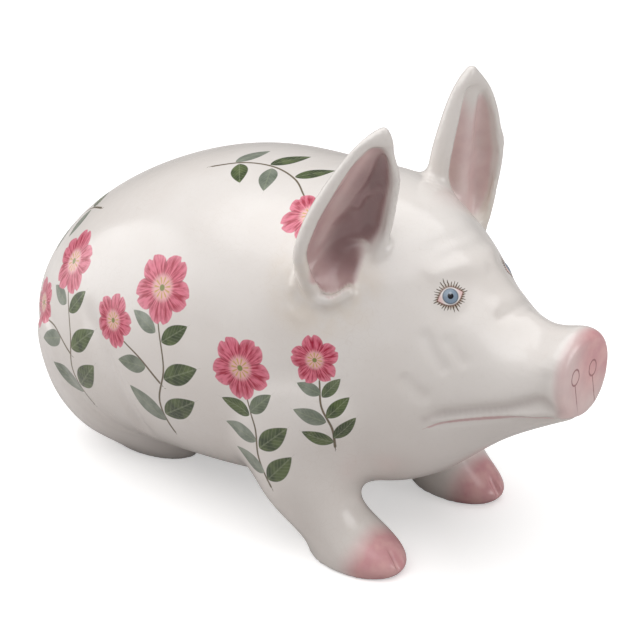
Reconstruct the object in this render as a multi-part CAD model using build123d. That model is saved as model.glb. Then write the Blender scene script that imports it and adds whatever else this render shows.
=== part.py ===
from build123d import *
import os
from dataclasses import dataclass, replace
from math import cos, pi, radians, sin

# Seated pig figurine in glazed earthenware, built as a potter builds it: a hollow slip-cast body
# and head that butt at a neck ring, with cast ears and legs and a rolled tail luted on to them.
# Millimetres. +X runs from rump to snout, +Y to the pig's left, +Z up. The floor is at z = 0, and
# the finished pieces are centred over the origin.

# Cast wall of the hollow body and head.
WALL = 6.0


@dataclass
class Station:
    """One upright cross-section of the trunk: an egg that is widest at the height of its waist.

    rise and drop reach up and down from the waist. crown and keel set how full the upper and
    lower halves are: 2 is an ellipse, less is peaked.
    """

    x: float
    waist: float
    rise: float
    drop: float
    half_width: float
    crown: float = 2.15
    keel: float = 2.0


# Cross-sections of the trunk from the rump to the snout.
RUMP = Station(x=-213, waist=92, rise=32, drop=34, half_width=45)
BUTTOCK = Station(x=-190, waist=94, rise=68, drop=58, half_width=76)
HAUNCH = Station(x=-145, waist=97, rise=100, drop=80, half_width=97)
LOIN = Station(x=-90, waist=102, rise=119, drop=89, half_width=108)
FLANK = Station(x=-25, waist=110, rise=122, drop=92, half_width=109)
SHOULDER = Station(x=35, waist=120, rise=114, drop=91, half_width=100)
NAPE = Station(x=82, waist=128, rise=101, drop=88, half_width=84, crown=1.9)
CHEEK = Station(x=110, waist=128, rise=89, drop=76, half_width=68, crown=1.75)
BROW = Station(x=131, waist=130, rise=71, drop=61, half_width=53, crown=1.7)
BRIDGE = Station(x=157, waist=132, rise=45, drop=41, half_width=38, crown=1.8)
SNOUT = Station(x=207, waist=147, rise=26, drop=26, half_width=27)
# The muzzle carries the snout, SNOUT_LIFT under it.
SNOUT_LIFT = 7.0
MUZZLE = Station(x=183, waist=SNOUT.waist - SNOUT_LIFT, rise=29, drop=32, half_width=30)
STATIONS = [RUMP, BUTTOCK, HAUNCH, LOIN, FLANK, SHOULDER]
STATIONS += [NAPE, CHEEK, BROW, BRIDGE, MUZZLE, SNOUT]
# Reach of the rounded end behind the rump's section.
RUMP_END = 10.0
SECTION_POINTS = 16
SNOUT_ROUNDING = 7.0

# Plane where the head casting is luted to the body casting: it passes behind the ears and in
# front of the forelegs. It stands NECK_SETBACK behind the nape at NECK_LIFT above the nape's
# waist, and the tilt leans its top back.
NECK_SETBACK = 20.0
NECK_LIFT = 12.0
NECK_TILT = 24.0

# Firing vent through the underside of the body.
VENT_DIAMETER = 5.0

# Mouth line, a groove cut round the muzzle. The shares give its depth below each waist, as a part
# of the section's drop.
MOUTH_SHARES = [(BROW, 0.43), (BRIDGE, 0.34), (MUZZLE, 0.66), (SNOUT, 1.0)]
MOUTH_WIDTH = 2.4
MOUTH_DEPTH = 2.4


@dataclass
class Ring:
    """One level cross-section of a leg: an ellipse in plan.

    x is measured forward from the leg's foot and y outward from its stance.
    """

    z: float
    x: float
    y: float
    half_length: float
    half_width: float


# Foreleg, from the sole up into the shoulder: its foot stands FORE_REACH in front of the shoulder.
FORE_REACH = 47.0
FORE_STANCE = 54.0
FORE_SOLE = Ring(z=0, x=-2, y=0, half_length=33, half_width=21)
FORE_PAD = Ring(z=9, x=-2, y=0, half_length=37, half_width=24)
FORE_PASTERN = Ring(z=23, x=-17, y=3, half_length=34, half_width=25)
FORE_CANNON = Ring(z=40, x=-30, y=9, half_length=32, half_width=27)
FORE_KNEE = Ring(z=62, x=-35, y=14, half_length=33, half_width=29)
FORE_ARM = Ring(z=92, x=-35, y=16, half_length=38, half_width=28)
FORE_TOP = Ring(z=125, x=-36, y=12, half_length=38, half_width=26)
FORELEG = [FORE_SOLE, FORE_PAD, FORE_PASTERN, FORE_CANNON, FORE_KNEE, FORE_ARM, FORE_TOP]
# The left forefoot stands a little further back and out than the right one.
LEFT_STEP_BACK = 8.0
LEFT_STEP_OUT = 8.0
# Cleft between the two toes of a fore trotter.
CLEFT_DIAMETER = 7.0
CLEFT_LEAN = 35.0
CLEFT_LENGTH = 60.0

# Hind leg, folded under: its foot stands HIND_REACH in front of the haunch.
HIND_REACH = 19.0
HIND_STANCE = 30.0
HIND_SOLE = Ring(z=0, x=-5, y=-4, half_length=39, half_width=22)
HIND_PAD = Ring(z=12, x=-11, y=1, half_length=48, half_width=29)
HIND_HOCK = Ring(z=36, x=-19, y=11, half_length=54, half_width=38)
HIND_THIGH = Ring(z=66, x=-20, y=18, half_length=53, half_width=43)
HIND_HIP = Ring(z=96, x=-22, y=20, half_length=44, half_width=45)
HIND_TOP = Ring(z=122, x=-16, y=14, half_length=26, half_width=30)
HIND_LEG = [HIND_SOLE, HIND_PAD, HIND_HOCK, HIND_THIGH, HIND_HIP, HIND_TOP]


@dataclass
class Ear:
    """One ear: how far its tip stands forward, inward and up from its root, and how it faces.

    side is -1 on the pig's right, and facing turns the open side from straight ahead, outward.
    """

    side: int
    forward: float
    inward: float
    rise: float
    facing: float


@dataclass
class EarSection:
    """One cross-section of an ear, at a share of its length from root to tip."""

    share: float
    half_width: float
    depth: float


# The right ear is cocked forward and turned out, and the left one is pricked. Their roots lie
# inside the head, EAR_SETBACK behind the nape, EAR_SINK within its width and EAR_LIFT up.
RIGHT_EAR = Ear(side=-1, forward=38, inward=17, rise=121, facing=22)
LEFT_EAR = Ear(side=1, forward=13, inward=16, rise=129, facing=-16)
EAR_SETBACK = 17.0
EAR_SINK = 11.0
EAR_LIFT = 41.0
EAR_BASE = EarSection(share=0.0, half_width=14, depth=11)
EAR_BOWL = EarSection(share=0.2, half_width=25, depth=19)
EAR_WIDEST = EarSection(share=0.47, half_width=28, depth=20)
EAR_UPPER = EarSection(share=0.7, half_width=22, depth=14)
EAR_POINT = EarSection(share=0.88, half_width=12, depth=9)
EAR_LEAF = [EAR_BASE, EAR_BOWL, EAR_WIDEST, EAR_UPPER, EAR_POINT]
# The hollow starts above a closed lobe and leaves a wall of EAR_THICKNESS behind and at the rim.
EAR_LOBE = EarSection(share=0.12, half_width=14, depth=14)
EAR_HOLLOW = [EAR_LOBE, EAR_BOWL, EAR_WIDEST, EAR_UPPER, EAR_POINT]
EAR_THICKNESS = 6.0
EAR_POINTS = 12

# Rolled tail, curled once against the rump. It leaves the rump TAIL_LIFT above the rump's waist
# from TAIL_SINK inside it, stands off behind it, swings to the left and drops to its tip.
TAIL_DIAMETER = 11.0
TAIL_LIFT = 46.0
TAIL_SINK = 17.0
TAIL_STANDOFF = 7.0
TAIL_SWING = 15.0
TAIL_DROP = 39.0


def signed_power(value, power):
    """Power of a value that keeps its sign."""
    return abs(value) ** power * (1 if value > 0 else -1)


def egg(station, inset):
    """Closed cross-section of one station, drawn in by inset all round."""
    points = []
    for step in range(SECTION_POINTS):
        angle = 2 * pi * step / SECTION_POINTS
        across, up = cos(angle), sin(angle)
        reach, fullness = (station.rise, station.crown) if up > 0 else (station.drop, station.keel)
        y = (station.half_width - inset) * signed_power(across, 2 / fullness)
        z = station.waist + (reach - inset) * signed_power(up, 2 / fullness)
        points.append((station.x, y, z))
    return Face(Wire([Spline(*points, periodic=True).edge()]))


def trunk(inset=0.0):
    """Form of body and head in one, drawn in by inset from the outer skin."""
    rear = RUMP.x - RUMP_END
    middle = (rear + SNOUT.x) / 2
    half = (SNOUT.x - rear) / 2
    sections = [replace(s, x=s.x - inset * (s.x - middle) / half) for s in STATIONS]
    return loft([Vertex(rear + inset, 0, RUMP.waist)] + [egg(s, inset) for s in sections]).solid()


def rounded_trunk():
    """Outer form with the edge of the snout disc rounded."""
    sharp = trunk()
    disc = sharp.faces().sort_by(Axis.X)[-1]
    return fillet(disc.edges(), SNOUT_ROUNDING).solid()


def mouth_groove():
    """Solid cut away to leave the mouth line: a bent ribbon standing MOUTH_DEPTH into the skin."""
    line = Spline(*[(s.x, s.waist - share * s.drop) for s, share in MOUTH_SHARES])
    ribbon = extrude(Plane.XZ * trace(line, MOUTH_WIDTH), NAPE.half_width, both=True)
    return ribbon - trunk(MOUTH_DEPTH)


def right_leg(rings, foot_x, stance):
    """Leg of the right side, lofted through its level ellipses."""
    levels = [
        Pos(foot_x + ring.x, -stance - ring.y, ring.z) * Ellipse(ring.half_length, ring.half_width)
        for ring in rings
    ]
    return loft(levels).solid()


def stepped(rings):
    """Rings of the left foreleg, given for the right side: its foot is moved and its top stays."""
    moved = []
    for ring in rings:
        share = 1 - ring.z / rings[-1].z
        moved.append(replace(ring, x=ring.x - LEFT_STEP_BACK * share, y=ring.y + LEFT_STEP_OUT * share))
    return moved


def right_foreleg(rings):
    """Foreleg of the right side, with the cleft cut into its toe by a leaning rod."""
    foot_x = SHOULDER.x + FORE_REACH
    pad = rings[FORELEG.index(FORE_PAD)]
    toe = Pos(foot_x + pad.x + pad.half_length, -FORE_STANCE - pad.y, pad.z)
    rod = toe * Rot(0, -CLEFT_LEAN, 0) * Cylinder(CLEFT_DIAMETER / 2, CLEFT_LENGTH)
    return right_leg(rings, foot_x, FORE_STANCE) - rod


def oval(half_width, behind, ahead):
    """Closed cross-section that reaches further behind, on its +Y side, than ahead."""
    points = []
    for step in range(EAR_POINTS):
        angle = 2 * pi * step / EAR_POINTS
        reach = behind if sin(angle) > 0 else ahead
        points.append((half_width * cos(angle), reach * sin(angle)))
    return Face(Wire([Spline(*points, periodic=True).edge()]))


def ear(pose):
    """One ear: a leaf lofted up to its tip, hollowed from the front."""
    root = Vector(NAPE.x - EAR_SETBACK, pose.side * (NAPE.half_width - EAR_SINK), NAPE.waist + EAR_LIFT)
    axis = Vector(pose.forward, -pose.side * pose.inward, pose.rise)
    turn = radians(pose.facing)
    front = Vector(cos(turn), pose.side * sin(turn), 0)
    across = axis.cross(front).normalized()
    leaf = []
    for part in EAR_LEAF:
        plane = Plane(origin=root + axis * part.share, x_dir=across, z_dir=axis)
        leaf.append(plane * oval(part.half_width, part.depth, EAR_THICKNESS / 2))
    hollow = []
    for part in EAR_HOLLOW:
        plane = Plane(origin=root + axis * part.share, x_dir=across, z_dir=axis)
        width, depth = part.half_width - EAR_THICKNESS, part.depth - EAR_THICKNESS
        hollow.append(plane * oval(width, depth, 2 * EAR_THICKNESS))
    return loft(leaf + [Vertex(*(root + axis))]).solid() - loft(hollow).solid()


def tail():
    """Rolled tail with a rounded end."""
    rear = RUMP.x - RUMP_END
    root_z = RUMP.waist + TAIL_LIFT
    points = [
        (rear + TAIL_SINK, 0, root_z),
        (rear, -TAIL_SWING / 4, root_z - TAIL_DROP / 10),
        (rear - TAIL_STANDOFF, TAIL_SWING / 2, root_z - TAIL_DROP * 2 / 5),
        (rear - TAIL_STANDOFF / 2, TAIL_SWING, root_z - TAIL_DROP * 3 / 4),
        (rear, TAIL_SWING / 2, root_z - TAIL_DROP),
    ]
    path = Spline(*points)
    section = Plane(origin=path @ 0, z_dir=path % 0) * Circle(TAIL_DIAMETER / 2)
    return sweep(section, path=path) + Pos(*points[-1]) * Sphere(TAIL_DIAMETER / 2)


form = rounded_trunk()
casting = form - trunk(WALL)
lean = radians(NECK_TILT)
neck = Plane(
    origin=(NAPE.x - NECK_SETBACK, 0, NAPE.waist + NECK_LIFT),
    z_dir=(cos(lean), 0, sin(lean)),
)
vent = Pos(FLANK.x, 0, FLANK.waist - FLANK.drop) * Cylinder(VENT_DIAMETER / 2, 4 * WALL)
hind_leg = right_leg(HIND_LEG, HAUNCH.x + HIND_REACH, HIND_STANCE)

pieces = {
    "body_shell": split(casting, bisect_by=neck, keep=Keep.BOTTOM) - vent,
    "head_shell": split(casting, bisect_by=neck, keep=Keep.TOP) - mouth_groove(),
    "right_ear": ear(RIGHT_EAR) - form,
    "left_ear": ear(LEFT_EAR) - form,
    "right_foreleg": right_foreleg(FORELEG) - form,
    "left_foreleg": mirror(right_foreleg(stepped(FORELEG)), about=Plane.XZ) - form,
    "right_hind_leg": hind_leg - form,
    "left_hind_leg": mirror(hind_leg, about=Plane.XZ) - form,
    "tail": tail() - form,
}

# The origin goes under the middle of the whole figure, from the curl of the tail to the snout.
rear_end = pieces["tail"].bounding_box().min.X
centring = Pos(-(rear_end + SNOUT.x) / 2, 0, 0)
os.makedirs("parts", exist_ok=True)
for name, piece in pieces.items():
    placed = centring * piece
    box = placed.bounding_box()
    print(name, len(placed.solids()), placed.is_valid, round(placed.volume), box.min, box.max)
    export_step(placed, f"parts/{name}.step")
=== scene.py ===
"""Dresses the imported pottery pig: one skin of clay is modelled over the CAD pieces, painted and glazed."""

import logging
import math
from dataclasses import dataclass
from enum import Enum
from typing import Mapping, Sequence, Union

import bmesh
import bpy
import numpy as np
import openvdb
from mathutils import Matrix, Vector
from numpy.typing import NDArray


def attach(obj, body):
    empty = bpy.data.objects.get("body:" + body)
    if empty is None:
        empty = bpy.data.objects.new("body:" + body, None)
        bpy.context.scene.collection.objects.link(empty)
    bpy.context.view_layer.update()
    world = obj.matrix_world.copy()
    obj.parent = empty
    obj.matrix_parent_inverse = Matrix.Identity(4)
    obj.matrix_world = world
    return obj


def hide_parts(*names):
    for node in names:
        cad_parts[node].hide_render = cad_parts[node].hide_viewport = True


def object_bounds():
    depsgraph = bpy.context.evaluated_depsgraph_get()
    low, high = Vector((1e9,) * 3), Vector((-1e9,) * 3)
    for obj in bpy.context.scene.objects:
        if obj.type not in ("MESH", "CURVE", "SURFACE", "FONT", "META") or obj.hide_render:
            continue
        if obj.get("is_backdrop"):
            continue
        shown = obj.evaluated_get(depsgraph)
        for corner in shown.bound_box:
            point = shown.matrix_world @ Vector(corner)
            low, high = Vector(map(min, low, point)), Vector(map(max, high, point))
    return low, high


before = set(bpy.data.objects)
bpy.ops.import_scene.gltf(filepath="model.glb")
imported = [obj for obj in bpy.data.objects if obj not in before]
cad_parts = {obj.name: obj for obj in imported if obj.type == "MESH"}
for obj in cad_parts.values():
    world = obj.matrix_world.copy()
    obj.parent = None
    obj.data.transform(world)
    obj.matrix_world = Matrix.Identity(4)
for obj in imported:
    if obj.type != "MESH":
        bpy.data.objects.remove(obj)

LOG = logging.getLogger("pottery_pig")
MM = 0.001
ROOT = "root"
Array = NDArray[np.floating]
Point = tuple[float, float, float]
Colour = tuple[float, float, float]
Touch = tuple[float, float]  # height and width of one touch of the modelling tool, in mm


class Side(Enum):
    """Side of the pig, with the sign of its Y."""

    RIGHT = -1
    LEFT = 1


class Paint(Enum):
    """Painted layers that a finish can carry under its glaze."""

    FLOWERS = "flowers"
    FACE = "face"


def smooth_min(first: Array, second: Array, softness: float) -> Array:
    """Joins two distance fields with a rounded fillet.

    Args:
        first: Signed distances, negative inside.
        second: Signed distances of the other form.
        softness: Width over which the two melt together, in mm.

    Returns:
        Signed distances of the joined form.
    """
    reach = np.maximum(softness - np.abs(first - second), 0.0) / softness
    return np.minimum(first, second) - reach * reach * softness / 4


def smooth_step(low: float, high: float, value: Array) -> Array:
    """Eases from 0 at low to 1 at high.

    Args:
        low: Value that gives 0.
        high: Value that gives 1.
        value: Values to ease.

    Returns:
        Eased values.
    """
    share = np.clip((value - low) / (high - low), 0.0, 1.0)
    return share * share * (3 - 2 * share)


def spline(points: Sequence[Point], steps: int) -> Array:
    """Draws a smooth line through a few points.

    Args:
        points: Points that the line passes.
        steps: Pieces that each stretch is cut into.

    Returns:
        Points along the line.
    """
    knots = np.array(points, float)
    knots = np.vstack([2 * knots[0] - knots[1], knots, 2 * knots[-1] - knots[-2]])
    share = np.linspace(0, 1, steps, endpoint=False)[:, None]
    line = []
    for a, b, c, d in zip(knots[:-3], knots[1:-2], knots[2:-1], knots[3:]):
        square, cube = 2 * a - 5 * b + 4 * c - d, 3 * b - a - 3 * c + d
        line.append(0.5 * (2 * b + (c - a) * share + square * share**2 + cube * share**3))
    return np.vstack(line + [knots[-2:-1]])


def mirrored(points: Sequence[Point], side: Side) -> list[Point]:
    """Puts points given for the right side on the side asked for."""
    return [(x, -side.value * y, z) for x, y, z in points]


class Clay:
    """Block of voxels with the signed distance to the figure's skin, in mm."""

    BAND = 14

    def __init__(self, low: Array, high: Array, voxel: float) -> None:
        """Makes an empty block.

        Args:
            low: Lowest corner.
            high: Highest corner.
            voxel: Edge of a voxel.
        """
        self.voxel = voxel
        self.low = low
        self.high = high
        self.start = np.floor(low / voxel).astype(int)
        self.shape = tuple(int(n) for n in np.ceil(high / voxel).astype(int) - self.start + 1)
        self.distance = np.full(self.shape, self.BAND * voxel, np.float32)

    def blank(self) -> "Clay":
        """Empty block of the same size."""
        return Clay(self.low, self.high, self.voxel)

    def measure(self, points: Array, faces: Array) -> Array:
        """Turns a closed mesh into a field of this block.

        Args:
            points: Its points.
            faces: Its triangles or quads.

        Returns:
            Signed distances in the block.
        """
        flat = np.ascontiguousarray(points, np.float32)
        kind = "triangles" if faces.shape[1] == 3 else "quads"
        grid = openvdb.FloatGrid.createLevelSetFromPolygons(
            flat,
            transform=openvdb.createLinearTransform(self.voxel),
            halfWidth=self.BAND,
            **{kind: np.ascontiguousarray(faces, np.uint32)},
        )
        out = np.empty(self.shape, np.float32)
        grid.copyToArray(out, ijk=tuple(int(i) for i in self.start))
        return out

    def axis(self, index: int) -> Array:
        """Coordinates of the voxels along one axis."""
        return (self.start[index] + np.arange(self.shape[index])) * self.voxel

    def soften(self, values: Array, radius: int) -> Array:
        """Averages a field with its neighbours, three passes of a box.

        Args:
            values: Field to soften.
            radius: Reach of the box in voxels.

        Returns:
            Softened field.
        """
        out = values
        for _ in range(3):
            for index in range(3):
                padded = np.concatenate(
                    [
                        np.repeat(out.take([0], index), radius + 1, index),
                        out,
                        np.repeat(out.take([-1], index), radius, index),
                    ],
                    index,
                )
                total = np.cumsum(padded, index, dtype=np.float64)
                count = out.shape[index]
                upper = total.take(range(2 * radius + 1, 2 * radius + 1 + count), index)
                lower = total.take(range(0, count), index)
                out = ((upper - lower) / (2 * radius + 1)).astype(np.float32)
        return out

    def join(self, form: Array, softness: float) -> None:
        """Melts a form into the clay."""
        self.distance = smooth_min(self.distance, form, softness).astype(np.float32)

    def near(self, path: Array, reach: float) -> tuple[tuple[slice, ...], Array, Array]:
        """Finds the voxels round a line.

        Args:
            path: Points along the line.
            reach: Distance that counts.

        Returns:
            The block's slices, the distance of each voxel to the line, and its share along it.
        """
        low = np.floor((path.min(0) - reach) / self.voxel).astype(int) - self.start
        high = np.ceil((path.max(0) + reach) / self.voxel).astype(int) - self.start + 1
        block = tuple(slice(max(int(a), 0), min(int(b), n)) for a, b, n in zip(low, high, self.shape))
        grid = np.meshgrid(*(self.axis(i)[s] for i, s in enumerate(block)), indexing="ij")
        voxels = np.stack(grid, -1).astype(np.float32)
        best = np.full(voxels.shape[:-1], 1e9, np.float32)
        along = np.zeros_like(best)
        for index, (a, b) in enumerate(zip(path[:-1], path[1:])):
            stretch = (b - a).astype(np.float32)
            offset = voxels - a.astype(np.float32)
            share = np.clip(offset @ stretch / max(float(stretch @ stretch), 1e-9), 0, 1)
            gap = np.linalg.norm(offset - share[..., None] * stretch, axis=-1)
            closer = gap < best
            best = np.where(closer, gap, best)
            along = np.where(closer, (index + share) / (len(path) - 1), along)
        return block, best, along

    def stroke(self, path: Array, height: float, width: float) -> None:
        """Raises a soft ridge along a line, or presses a groove where the height is negative.

        Args:
            path: Points along the line, near the skin.
            height: Height of the ridge.
            width: Distance at which it has faded to a third.
        """
        block, gap, along = self.near(path, 2.5 * width)
        fade = smooth_step(0.0, 0.18, along) * smooth_step(1.0, 0.82, along)
        self.distance[block] -= (height * np.exp(-((gap / width) ** 2)) * fade).astype(np.float32)

    def dab(self, place: Point, height: float, width: float) -> None:
        """Raises a soft boss at one place, or presses a dent where the height is negative."""
        spot = np.array([place, place], float)
        block, gap, _ = self.near(spot, 2.5 * width)
        self.distance[block] -= (height * np.exp(-((gap / width) ** 2))).astype(np.float32)

    def rope(self, path: Array, radius: float, softness: float, end: float = 1.0) -> None:
        """Melts a rope of clay on to the skin along a line.

        Args:
            path: Points along the line.
            radius: Radius of the rope.
            softness: Width over which it melts into the skin.
            end: Share of the radius that is left at the line's end.
        """
        block, gap, along = self.near(path, radius + 2 * softness)
        radii = radius * (1 - (1 - end) * smooth_step(0.6, 1.0, along))
        self.distance[block] = smooth_min(self.distance[block], gap - radii, softness)

    def carve(self, path: Array, radii: Sequence[float], softness: float) -> None:
        """Scoops a channel out of the clay along a line.

        Args:
            path: Points along the line.
            radii: Radii of the channel at equal steps along it.
            softness: Width over which its edges are rounded.
        """
        block, gap, along = self.near(path, max(radii) + 2 * softness)
        radius = np.interp(along, np.linspace(0, 1, len(radii)), radii)
        self.distance[block] = -smooth_min(-self.distance[block], gap - radius, softness)

    def sample(self, points: Array) -> Array:
        """Reads the distance at any points, in mm."""
        place = np.clip(points / self.voxel - self.start, 0, np.array(self.shape) - 1.001)
        low = place.astype(int)
        share = place - low
        total = np.zeros(len(points))
        for corner in range(8):
            step = np.array([corner >> 2 & 1, corner >> 1 & 1, corner & 1])
            weight = np.prod(np.where(step, share, 1 - share), axis=1)
            i, j, k = (low + step).T
            total += weight * self.distance[i, j, k]
        return total

    def slope(self, points: Array) -> Array:
        """Reads the outward direction of the skin at any points."""
        out = np.empty_like(points)
        for index in range(3):
            step = np.zeros(3)
            step[index] = self.voxel
            out[:, index] = self.sample(points + step) - self.sample(points - step)
        return out / np.maximum(np.linalg.norm(out, axis=1, keepdims=True), 1e-9)

    def settle(self, points: Array, height: float = 0.0) -> Array:
        """Moves points on to the skin.

        Args:
            points: Points near the skin.
            height: Height above the skin to end at.

        Returns:
            The moved points.
        """
        placed = np.array(points, float)
        for _ in range(12):
            placed -= (self.sample(placed) - height)[:, None] * self.slope(placed) * 0.8
        return placed

    def mesh(self, values: Array) -> tuple[Array, Array]:
        """Draws the skin of a field as quads.

        Args:
            values: Signed distances in the block.

        Returns:
            Points in mm and quads that face outward.
        """
        grid = openvdb.FloatGrid(float(self.BAND * self.voxel))
        grid.transform = openvdb.createLinearTransform(self.voxel)
        grid.copyFromArray(np.ascontiguousarray(values), ijk=tuple(int(i) for i in self.start))
        points, quads = grid.convertToQuads(0.0)
        return points.astype(float), quads.astype(np.int64)


def node_form(name: str) -> tuple[Array, Array]:
    """Reads the mesh of a CAD node.

    Args:
        name: Name of the node.

    Returns:
        Its points in mm and its triangles.
    """
    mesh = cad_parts[name].data
    mesh.calc_loop_triangles()
    points = np.empty(len(mesh.vertices) * 3)
    mesh.vertices.foreach_get("co", points)
    triangles = np.empty(len(mesh.loop_triangles) * 3, np.int32)
    mesh.loop_triangles.foreach_get("vertices", triangles)
    return points.reshape(-1, 3) / MM, triangles.reshape(-1, 3)


@dataclass
class Trunk:
    """Body and head, one egg of clay that the members are luted to."""

    body: str = "body_shell"
    head: str = "head_shell"
    neck: Point = (76.3, 0.0, 140.0)
    neck_tilt: float = 24.0
    muzzle: float = 186.0
    fade: float = 14.0

    def build(self, clay: Clay) -> Array:
        """Fills the two hollow castings and softens them, except at the snout.

        Args:
            clay: Block to build in.

        Returns:
            Signed distances of the form.
        """
        hollow = np.minimum(*(clay.measure(*node_form(name)) for name in (self.body, self.head)))
        solid = hollow < 0
        for axis in (1, 2):
            before = np.logical_or.accumulate(solid, axis)
            after = np.flip(np.logical_or.accumulate(np.flip(solid, axis), axis), axis)
            solid |= before & after
        hollow[solid & (hollow > 0)] = -clay.voxel
        form = clay.measure(*clay.mesh(hollow))
        keep = smooth_step(self.muzzle - self.fade, self.muzzle + self.fade, clay.axis(0))[:, None, None]
        return (form * keep + clay.soften(form, 2) * (1 - keep)).astype(np.float32)

    def in_head(self, points: Array) -> Array:
        """Tells which points lie in front of the neck ring."""
        tilt = math.radians(self.neck_tilt)
        return (points - np.array(self.neck)) @ np.array([math.cos(tilt), 0.0, math.sin(tilt)]) > 0


@dataclass
class Member:
    """One cast piece that is luted to the trunk."""

    node: str
    softness: float

    def build(self, clay: Clay) -> Array:
        """Measures the CAD piece and melts it into the clay.

        Args:
            clay: Block to build in.

        Returns:
            Signed distances of the piece alone.
        """
        form = clay.measure(*node_form(self.node))
        clay.join(form, self.softness)
        return form


@dataclass
class Foreleg(Member):
    """One foreleg, with a blush on its trotter."""

    toe: Point = (126.0, -54.0, 6.0)
    inner: float = 17.0
    outer: float = 38.0

    def dress(self, skin: "Skin") -> None:
        """Brushes the blush on the trotter.

        Args:
            skin: Skin to paint.
        """
        offset = (skin.points - np.array(self.toe)) / np.array([1.0, 1.0, 0.8])
        pink = 1.3 * smooth_step(self.outer, self.inner, np.linalg.norm(offset, axis=1))
        skin.brush("blush", pink)
        skin.brush("mauve_and_painted_shade", 0.12 * smooth_step(0.3, 1.0, pink))


@dataclass
class EarShare:
    """One cross-section of an ear, at a share of its length."""

    share: float
    half_width: float
    depth: float


@dataclass
class Ear(Member):
    """One ear: a leaf hollowed from the front, with one rolled rim, one thin rim and folds inside."""

    side: Side = Side.RIGHT
    forward: float = 38.0
    inward: float = 17.0
    rise: float = 121.0
    facing: float = 22.0
    root: Point = (79.3, -73.0, 169.0)
    depth_point: Point = (85.0, -61.0, 158.0)
    roll: float = 3.2
    roll_place: float = -0.92
    roll_share: float = 0.3
    thin_rim: float = 2.0
    thin_share: float = 0.34
    back_wall: float = 2.6
    cup_radii: tuple[float, ...] = (7.0, 10.0, 9.5, 8.0, 5.0)
    flare_radius: float = 8.0
    lobe_height: float = 2.4
    gully: Touch = (-1.8, 2.2)
    ridge: Touch = (1.6, 2.4)
    main_fold: Touch = (2.6, 2.8)
    second_fold: Touch = (2.0, 2.4)
    blush: float = 0.62
    # Share of dark rose-brown over the hollow, which is its own tint, and the extra in the deep cup, which is
    # painted shade.
    mauve_and_painted_shade: tuple[float, float] = (0.25, 0.7)
    floor_fill: float = 0.0
    tip_cut: float = 0.0
    lobe: tuple[Point, ...] = ()
    scoop: tuple[Point, ...] = ()
    scoop_radii: tuple[float, ...] = ()
    sections: tuple[EarShare, ...] = (
        EarShare(0.0, 14, 11),
        EarShare(0.2, 25, 19),
        EarShare(0.47, 28, 20),
        EarShare(0.7, 22, 14),
        EarShare(0.88, 12, 9),
        EarShare(1.0, 2, 2),
    )

    def frame(self) -> tuple[Array, Array, Array, Array]:
        """Works out the ear's own axes.

        Returns:
            Its root, its axis from root to tip, the direction across it and the one behind it.
        """
        root = np.array(mirrored([self.root], self.side)[0])
        axis = np.array([self.forward, -self.side.value * self.inward, self.rise])
        turn = math.radians(self.facing)
        front = np.array([math.cos(turn), self.side.value * math.sin(turn), 0.0])
        across = np.cross(axis, front)
        across /= np.linalg.norm(across)
        behind = np.cross(axis, across)
        return root, axis, across, behind / np.linalg.norm(behind)

    def size(self, share: Array) -> tuple[Array, Array]:
        """Half width and depth of the leaf at shares of its length."""
        at = [s.share for s in self.sections]
        width = np.interp(share, at, [s.half_width for s in self.sections])
        return width, np.interp(share, at, [s.depth for s in self.sections])

    def place(self, share: float, across: float, behind: float) -> Point:
        """Finds a point of the ear.

        Args:
            share: Share of its length from root to tip.
            across: Share of its half width, towards its inner edge on the right ear.
            behind: Share of its depth.

        Returns:
            The point in mm.
        """
        root, axis, side, back = self.frame()
        width, depth = self.size(np.array([share]))
        return tuple(root + axis * share + side * width[0] * across + back * depth[0] * behind)

    def local(self, points: Array) -> tuple[Array, Array, Array]:
        """Shares along the ear, across it and behind it of any points."""
        root, axis, side, back = self.frame()
        offset = points - root
        share = offset @ axis / (axis @ axis)
        width, depth = self.size(np.clip(share, 0, 1))
        return share, offset @ side / width, offset @ back / depth

    def line(self, shares: Sequence[float], across: Sequence[float], behind: float) -> Array:
        """Smooth line through points of the ear, all as deep behind its front."""
        return spline([self.place(share, place, behind) for share, place in zip(shares, across)], 5)

    def build(self, clay: Clay) -> Array:
        """Measures the CAD ear, rolls its rims and folds its inside.

        Args:
            clay: Block to build in.

        Returns:
            Signed distances of the ear, its hollow counted in.
        """
        own = clay.blank()
        own.distance = clay.soften(clay.measure(*node_form(self.node)), 1)
        skin = self.back_skin(own)
        own.carve(self.line((0.38, 0.47, 0.58, 0.7, 0.8), [0.5] * 5, 0.1), self.cup_radii, 3.0)
        own.distance = np.minimum(own.distance, skin)
        if self.lobe:
            for behind in (-0.1, 0.45):
                flare = self.line((0.2, 0.07, 0.0), (-1.25, -1.1, -0.4), behind)
                own.carve(flare, [self.flare_radius] * 3, 4.0)
        if self.tip_cut:
            edge = [self.place(0.88, 1.9, behind) for behind in (-1.5, 0.0, 1.5)]
            own.carve(spline(edge, 3), [self.tip_cut] * 3, 5.0)
        self.fold(own)
        tip = [self.place(0.95, 0.0, 0.25)]
        shares = [share for share in (0.2, 0.3, 0.47, 0.62, 0.76, 0.88) if share >= self.roll_share]
        rolled = [self.place(share, self.roll_place, 0.04) for share in shares]
        lobe = [tuple(clay.settle(np.array([point]), self.lobe_height)[0]) for point in self.lobe]
        own.rope(spline(lobe + rolled + tip, 5), self.roll, 2.5, 0.5)
        thin = [self.place(share, 0.95, 0.02) for share in (self.thin_share, 0.47, 0.62, 0.74)]
        thin.append(self.place(0.86, 0.6 if self.tip_cut else 0.9, 0.1))
        own.rope(spline(thin + tip, 5), self.thin_rim, 2.0, 0.8)
        clay.join(own.distance, self.softness)
        if self.scoop:
            clay.carve(spline(self.scoop, 5), self.scoop_radii, 8.0)
            clay.rope(spline(lobe + rolled[:2], 5), self.roll, 1.5)
        return own.distance

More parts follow.
